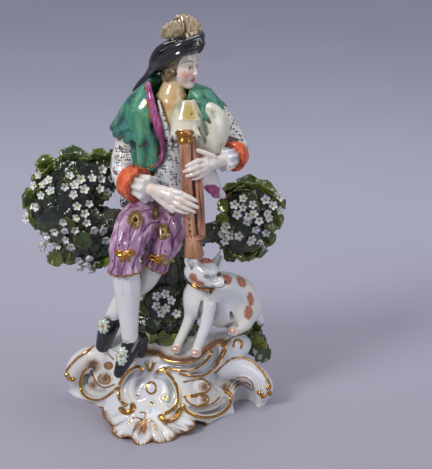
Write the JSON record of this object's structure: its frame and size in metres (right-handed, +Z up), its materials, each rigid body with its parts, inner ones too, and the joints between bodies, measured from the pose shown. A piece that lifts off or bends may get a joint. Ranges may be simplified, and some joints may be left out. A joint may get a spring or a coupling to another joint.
{
  "type": "porcelain figure",
  "caption": "Seated porcelain bagpiper with a dog at the feet, flowering foliage behind and a scrolled base; a figurine that stands on a shelf.",
  "frame": {"origin": "middle of the flat underside of the base", "axes": "+Z up, -Y towards the viewer (the piper's front), +X to the viewer's right"},
  "size_m": [0.161, 0.0929, 0.2357],
  "materials": {
    "glazed_porcelain": "white porcelain painted in enamels and gilt under a clear, glossy glaze"
  },
  "bodies": {
    "root": {"porcelain_piper_group": "glazed_porcelain"}
  },
  "joints": []
}
